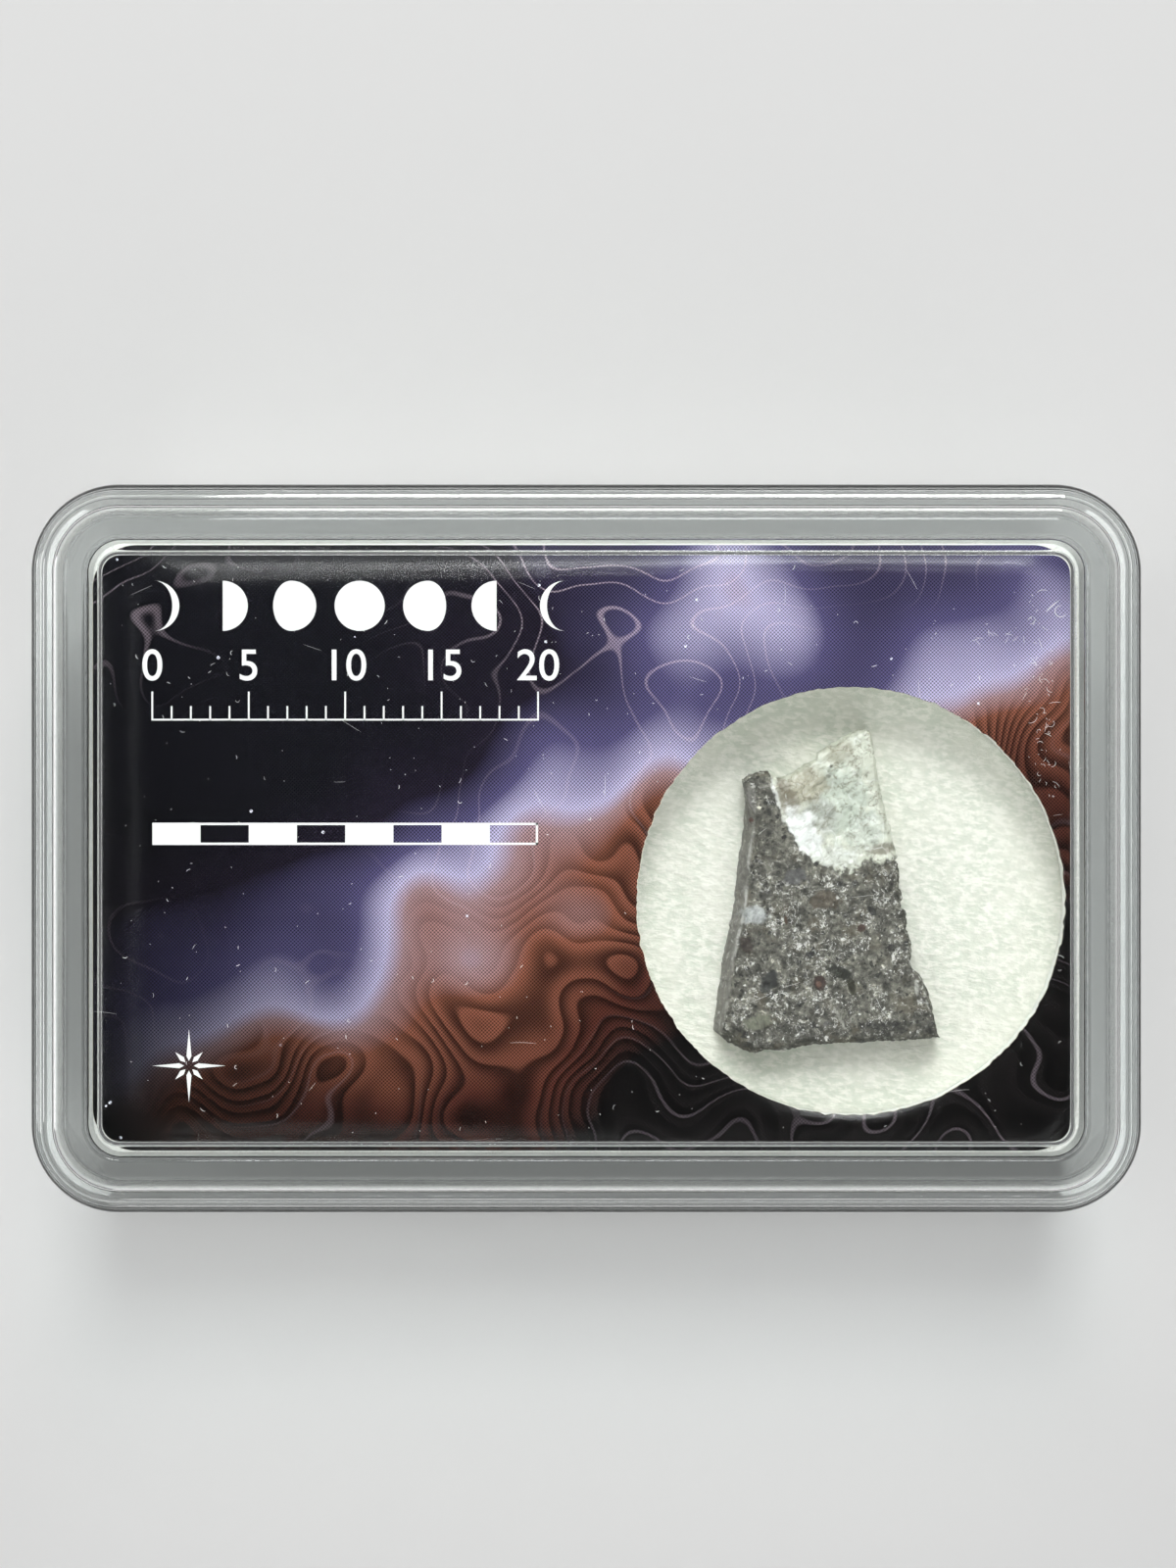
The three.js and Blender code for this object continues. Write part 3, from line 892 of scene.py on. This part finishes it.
class MBOX_OT_stone(bpy.types.Operator):
    """Makes the sawn slice with its relief, chipped edges and white clast"""

    bl_idname = "mbox.stone"
    bl_label = "Meteorite slice"

    # Where the clast meets the breccia, from left to right
    CLAST_EDGE = (
        (9.4, 4.6), (9.7, 3.0), (10.2, 1.5), (11.3, -0.2),
        (12.3, -1.1), (13.3, -1.3), (14.5, -0.9), (16.3, -0.6),
    )
    # Where the long left side meets the sawn face: y and x, towards the clast
    FLANK_LINE = (
        (-9.9, 7.0), (-7.8, 7.42), (-5.8, 7.7), (-4.4, 7.98),
        (-2.85, 8.3), (-0.8, 8.45), (2.2, 8.85), (3.5, 8.7),
    )
    # Larger grains: middle, half breadth, half height, turn, colour
    GRAINS = (
        ((9.5, -6.95), 0.36, 0.66, -0.5, (0.03, 0.032, 0.03)),
        ((12.18, -7.08), 0.34, 0.42, 0.2, (0.03, 0.014, 0.01)),
        ((12.1, -7.12), 0.14, 0.16, 0.4, (0.1, 0.05, 0.035)),
        ((13.24, -6.5), 0.55, 0.3, -0.35, (0.014, 0.016, 0.01)),
        ((13.8, -7.25), 0.2, 0.44, 0.15, (0.02, 0.019, 0.008)),
        ((12.4, -2.75), 0.75, 0.5, 0.1, (0.095, 0.08, 0.058)),
        ((8.75, -3.55), 0.68, 0.42, 0.1, (0.4, 0.42, 0.41)),
        ((8.35, -5.15), 0.34, 0.42, 0.5, (0.045, 0.034, 0.028)),
        ((14.35, -4.2), 0.24, 0.2, 0.3, (0.04, 0.018, 0.012)),
        ((14.9, -3.3), 0.16, 0.3, 0.6, (0.02, 0.02, 0.018)),
        ((10.4, -3.75), 0.09, 0.28, 0.1, (0.06, 0.032, 0.018)),
        ((8.62, 1.42), 0.1, 0.1, 0.0, (0.1, 0.03, 0.02)),
        ((9.45, -3.25), 0.1, 0.12, 0.0, (0.004, 0.004, 0.004)),
        ((8.6, -1.0), 0.14, 0.1, 0.3, (0.008, 0.008, 0.008)),
        ((10.3, 0.55), 0.14, 0.12, 0.3, (0.008, 0.008, 0.008)),
        ((8.9, -9.1), 0.7, 0.4, 0.2, (0.15, 0.155, 0.115)),
        ((13.2, -8.9), 0.1, 0.75, 0.5, (0.3, 0.3, 0.26)),
        ((17.2, -7.3), 0.1, 0.4, 0.1, (0.4, 0.4, 0.36)),
        ((15.9, -5.2), 0.2, 0.26, 0.2, (0.02, 0.018, 0.016)),
        ((11.6, -5.6), 0.16, 0.2, 0.8, (0.025, 0.025, 0.024)),
        ((10.9, -1.5), 0.5, 0.4, 0.4, (0.1, 0.1, 0.098)),
    )
    # Places on the clast: middle, half breadth, half height, turn, colour, weight, share of white streaks
    PATCHES = (
        ((13.2, 2.4), 1.5, 1.9, 0.25, (0.47, 0.53, 0.45), 0.8, 0.1),
        ((12.2, 1.6), 0.8, 1.0, 0.1, (0.38, 0.4, 0.35), 0.8, 0.3),
        ((11.5, 3.2), 1.1, 0.8, 0.5, (0.32, 0.29, 0.2), 0.7, 0.15),
        ((10.5, 2.4), 0.45, 1.2, 0.35, (0.17, 0.145, 0.1), 0.8, 0.1),
        ((13.2, 4.9), 0.8, 0.45, 0.5, (0.33, 0.32, 0.24), 0.65, 0.1),
        ((14.4, 5.4), 0.5, 0.7, 0.0, (0.6, 0.63, 0.53), 0.8, 0.2),
        ((11.25, 0.75), 0.8, 1.3, 0.6, (0.8, 0.83, 0.8), 0.9, 1.0),
        ((12.8, -0.5), 1.3, 0.55, 0.0, (0.66, 0.69, 0.63), 0.7, 0.8),
        ((14.6, 0.9), 0.8, 0.9, 0.0, (0.5, 0.55, 0.48), 0.7, 0.5),
        ((9.85, 2.7), 0.14, 0.9, 0.3, (0.7, 0.71, 0.68), 0.8, 0.7),
        ((15.4, -0.1), 0.6, 0.3, 0.2, (0.17, 0.15, 0.11), 0.7, 0.0),
        ((12.75, 4.25), 0.08, 0.08, 0.0, (0.01, 0.01, 0.01), 1.0, 0.0),
    )
    # Cracks in the clast: both ends and the depth
    CRACKS = (
        ((13.1, 3.5), (14.1, 1.2), 0.05),
        ((13.4, 4.1), (14.2, 3.6), 0.04),
        ((15.9, -0.4), (14.4, -0.3), 0.04),
        ((11.0, 3.3), (11.7, 2.2), 0.04),
    )

    def execute(self, context):
        settings = context.scene.mbox_stone
        rings = self.stone_rings(self.foot_line())
        stone = ring_solid("breccia_slice", rings, breccia(settings))
        self.paint(stone, settings)
        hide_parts("meteorite_slice")
        return {"FINISHED"}

    def foot_line(self, count=560):
        """The solid's own foot, walked at even steps and roughened by fine noise."""
        points = read_points(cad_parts["meteorite_slice"].data) / MM
        low = points[points[:, 2] < STONE_LOW[2] + 0.01][:, :2]
        low = low[np.hypot(*(low - STONE_MIDDLE).T) > 2.5]
        low = np.unique(np.round(low, 3), axis=0)
        away = low - STONE_MIDDLE
        low = low[np.argsort(np.arctan2(away[:, 1], away[:, 0]))]
        closed = np.concatenate([low, low[:1]])
        walked = np.concatenate([[0], np.cumsum(np.hypot(*np.diff(closed, axis=0).T))])
        at = np.linspace(0, walked[-1], count, endpoint=False)
        line = np.stack([np.interp(at, walked, closed[:, 0]), np.interp(at, walked, closed[:, 1])], axis=-1)
        reach = np.hypot(*(line - STONE_MIDDLE).T)
        fray = 1 + 0.1 * layered_noise(line[:, 0] * 2.2, line[:, 1] * 2.2, 41) / reach
        return STONE_MIDDLE + (line - STONE_MIDDLE) * fray[:, None]

    def clast_share(self, x, y):
        """1 on the clast, 0 on the breccia: height above a wavering edge line."""
        edge = np.interp(x, *np.array(self.CLAST_EDGE).T)
        waver = 0.5 * layered_noise(x * 1.5, y * 1.5, 51)
        return ease(y + waver, edge - 0.08, edge + 0.14)

    def top_level(self, x, y):
        """The sawn face: broad and fine noise, pits in the breccia, ledges and cracks in the clast."""
        clast = self.clast_share(x, y)
        broad = 0.12 * (noise(x * 0.5, y * 0.5, 1) - 0.5)
        rough = 0.08 * (noise(x * 1.9, y * 1.9, 2) - 0.5)
        steps = 4 * noise(x * 0.7 + y * 0.4, y * 0.7, 3)
        ledge = (np.floor(steps) + ease(steps - np.floor(steps), 0.35, 0.65)) / 4
        level = broad + rough + 0.32 * (ledge - 0.35) * clast
        level = level + (0.07 + 0.06 * clast) * layered_noise(x * 1.1, y * 1.1, 61, 3)
        pits = ease(noise(x * 3.1, y * 3.1, 71), 0.8, 0.95) * (1 - clast)
        level = level - 0.09 * pits
        for (x0, y0), (x1, y1), depth in self.CRACKS:
            dx, dy = x1 - x0, y1 - y0
            along = np.clip(((x - x0) * dx + (y - y0) * dy) / (dx**2 + dy**2), 0, 1)
            bend = 0.12 * layered_noise(along * 6, along * 0 + y0, 81)
            gap = np.hypot(x - x0 - along * dx + bend, y - y0 - along * dy + bend)
            level = level - depth * (1 - ease(gap, 0.0, 0.09))
        return PAD_HIGH[2] + STONE_THICKNESS + level

    def side_point(self, foot, share):
        """A foot point's place at a share of the thickness: all sides lean in a little, the long left side
        most, and ledges of noise run round them."""
        x, y = foot.T
        left = ease(9 - x, 0, 0.6) * ease(2.6 - y, 0, 1)
        away = np.hypot(STONE_MIDDLE[0] - x, STONE_MIDDLE[1] - y)
        rough = 0.3 * (noise(x * 1.6 + 9 * share, y * 1.6, 4) - 0.5) * min(1, 3 * share)
        fine = 0.12 * layered_noise(x * 2.5 + 14 * share, y * 2.5 + 5 * share, 91) * min(1, 4 * share)
        chip = 0.1 * ease(share, 0.86, 1.0) * (0.3 + 1.4 * noise(x * 1.7, y * 1.7, 5))
        inward = ((0.1 * share + rough + fine + chip) / away)[:, None]
        point = foot + (STONE_MIDDLE - foot) * inward
        point[:, 0] += 0.48 * left * share
        return point

    def stone_rings(self, foot):
        """Rings across the foot, up the sides and in over the top to the middle."""
        low = PAD_HIGH[2]
        middle = STONE_MIDDLE
        rings = [level_ring(middle + (foot - middle) * share, low) for share in (0.03, 0.5, 0.97)]
        sides = 22
        for step in range(sides):
            share = step / sides
            line = self.side_point(foot, share)
            rim = self.top_level(*line.T) - 0.05
            rings.append(level_ring(line, low + (rim - low) * share))
        rim = self.side_point(foot, 1.0)
        for share in np.concatenate([np.linspace(1, 0.97, 4)[:-1], np.linspace(0.97, 0.012, 118)]):
            line = middle + (rim - middle) * share
            drop = 0.07 * (1 - ease(1 - share, 0.0, 0.02))
            rings.append(level_ring(line, self.top_level(*line.T) - drop))
        return np.stack(rings)

    def paint(self, stone, settings):
        """Stores what the material reads: the clast's share and colours, a calm place with few chips, the
        long left side with a painted highlight along its edge, and the larger grains."""
        mesh = stone.data
        count = len(mesh.vertices)
        x, y, _ = read_points(mesh).T / MM
        self.store(mesh, "clast", self.clast_share(x, y))
        self.store(mesh, "calm", np.exp(-(((x - 9.6) / 1.6) ** 2 + ((y - 0.4) / 1.9) ** 2)))
        left = ease(9 - x, 0, 0.6) * ease(3.4 - y, 0, 0.6)
        inner = np.interp(y, *np.array(self.FLANK_LINE).T)
        self.store(mesh, "flank", left * ease(inner + 0.05 - x, 0, 0.04))
        # A thin band along the edge where the long left side meets the sawn face, where the painted highlight
        # goes.
        self.store(mesh, "edge_highlight_line", left * np.exp(-(((x - inner) / 0.07) ** 2)))
        shown = np.tile(np.array(settings.clast), (count, 1))
        frost = np.full(count, 0.12)
        for *ellipse, colour, weight, frosted in self.PATCHES:
            mask = self.blob(x, y, *ellipse, 0.3) * weight
            shown = shown * (1 - mask[:, None]) + np.array(colour) * mask[:, None]
            frost = frost * (1 - mask) + frosted * mask
        self.store(mesh, "clast_colour", np.column_stack([shown, frost]), "FLOAT_COLOR", "color")
        grains = np.zeros((count, 3))
        cover = np.zeros(count)
        for *ellipse, colour in self.GRAINS:
            mask = self.blob(x, y, *ellipse, 0.3 if colour[0] > 0.35 else 0.1)
            grains = np.where(mask[:, None] > 0.01, np.array(colour), grains)
            cover = np.maximum(cover, mask)
        self.store(mesh, "grain_colour", np.column_stack([grains, cover * 0.9]), "FLOAT_COLOR", "color")

    def blob(self, x, y, middle, wide, tall, turn, soft):
        """A turned ellipse with an angular, wavering edge: 1 inside, 0 outside."""
        dx, dy = x - middle[0], y - middle[1]
        u = (dx * math.cos(turn) + dy * math.sin(turn)) / wide
        v = (-dx * math.sin(turn) + dy * math.cos(turn)) / tall
        reach = np.hypot(u, v) + 0.5 * layered_noise(x * 1.6 + 3, y * 1.6, 101)
        return 1 - ease(reach, 1 - soft, 1 + soft)

    def store(self, mesh, name, values, kind="FLOAT", field="value"):
        """Keeps a number, or a colour and an alpha, for each point of the mesh."""
        layer = mesh.attributes.new(name, kind, "POINT")
        layer.data.foreach_set(field, values.astype(np.float32).ravel())


class MBOX_OT_lint(bpy.types.Operator):
    """Scatters lint on the card and scuff marks on the lid"""

    bl_idname = "mbox.lint"
    bl_label = "Lint"

    def execute(self, context):
        chance = np.random.default_rng(7)
        # Each fibre: place, level, length, radius
        fibres = []
        top = CARD_HIGH[2]
        for _ in range(420):
            place = (chance.uniform(-24.8, 24.6), chance.uniform(-14.8, 14.8))
            if self.past_window(place) >= 0.6:
                fibres.append((place, top, 0.05 + 0.3 * chance.uniform() ** 3, chance.uniform(0.008, 0.016)))
        # The cluster down the right side, and three long fibres
        for _ in range(110):
            along = chance.uniform(0, 1)
            place = (23.4 + 0.9 * along + chance.normal(0, 0.35), 13.4 - 20.0 * along)
            if self.past_window(place) > 0.3:
                fibres.append((place, top, 0.1 + 0.6 * chance.uniform() ** 2, chance.uniform(0.007, 0.012)))
        fibres += [
            ((24.6, 12.9), top, 0.9, 0.022), ((24.9, 12.3), top, 1.3, 0.018), ((25.0, 4.6), top, 1.1, 0.016),
        ]
        self.scatter("lint_on_card", fibres, chance)
        scuffs = [((19.9 + 0.25 * i, 10.75 + 0.02 * i), LID_HIGH[2], 0.4, 0.006) for i in range(11)]
        for _ in range(26):
            place = (chance.uniform(-24, 24), chance.uniform(-14, 14))
            scuffs.append((place, LID_HIGH[2], chance.uniform(0.3, 1.4), 0.005))
        self.scatter("scuffs_on_lid", scuffs, chance, bend=0.15)
        return {"FINISHED"}

    def past_window(self, place):
        """How far outside the window's edge a place lies."""
        return math.hypot(*(WINDOW - place)) - WINDOW_RADIUS

    def scatter(self, name, fibres, chance, bend=1.3, steps=8, sides=4):
        """Each fibre is a thin closed tube along a short arc that lies flat."""
        share = np.linspace(-0.5, 0.5, steps + 1)
        ring = np.arange(sides) / sides * FULL_TURN
        tubes = []
        for (x, y), level, length, radius in fibres:
            turn = chance.uniform(0, FULL_TURN)
            curl = chance.normal(0, bend) * (1 + (length > 0.3) * (bend > 1))
            cosine, sine = np.cos(turn + curl * share), np.sin(turn + curl * share)
            thick = radius * np.sqrt(1 - (1.9 * share) ** 2)[:, None]
            aside = np.cos(ring) * thick
            across = (x + np.cumsum(cosine) * length / steps)[:, None] - sine[:, None] * aside
            along = (y + np.cumsum(sine) * length / steps)[:, None] + cosine[:, None] * aside
            tubes.append(np.stack([across, along, level + radius + np.sin(ring) * thick], axis=-1))
        join_solids(name, tubes, lint_fibre())


class MBOX_PT_panel(bpy.types.Panel):
    """Lists the settings, and the operators that make the pieces"""

    bl_idname = "MBOX_PT_panel"
    bl_label = "Meteorite Box"
    bl_space_type = "VIEW_3D"
    bl_region_type = "UI"
    bl_category = "Meteorite Box"

    def draw(self, context):
        for name, group in SETTINGS.items():
            for field in group.__annotations__:
                self.layout.prop(getattr(context.scene, name), field)
        for operator in OPERATORS:
            self.layout.operator(operator.bl_idname)


SETTINGS = {
    "mbox_box": BoxSettings,
    "mbox_card": CardSettings,
    "mbox_stone": StoneSettings,
    "mbox_stage": StageSettings,
}
OPERATORS = (
    MBOX_OT_stage,
    MBOX_OT_clear_box,
    MBOX_OT_padding,
    MBOX_OT_card,
    MBOX_OT_stone,
    MBOX_OT_lint,
)


def register():
    for name, group in SETTINGS.items():
        bpy.utils.register_class(group)
        setattr(bpy.types.Scene, name, bpy.props.PointerProperty(type=group))
    for made in (*OPERATORS, MBOX_PT_panel):
        bpy.utils.register_class(made)


def unregister():
    for made in reversed((*OPERATORS, MBOX_PT_panel)):
        bpy.utils.unregister_class(made)
    for name, group in SETTINGS.items():
        delattr(bpy.types.Scene, name)
        bpy.utils.unregister_class(group)


def main():
    """Makes every piece."""
    register()
    bpy.ops.mbox.stage()
    bpy.ops.mbox.clear_box()
    bpy.ops.mbox.padding()
    bpy.ops.mbox.card()
    bpy.ops.mbox.stone()
    bpy.ops.mbox.lint()


if __name__ == "__main__":
    main()
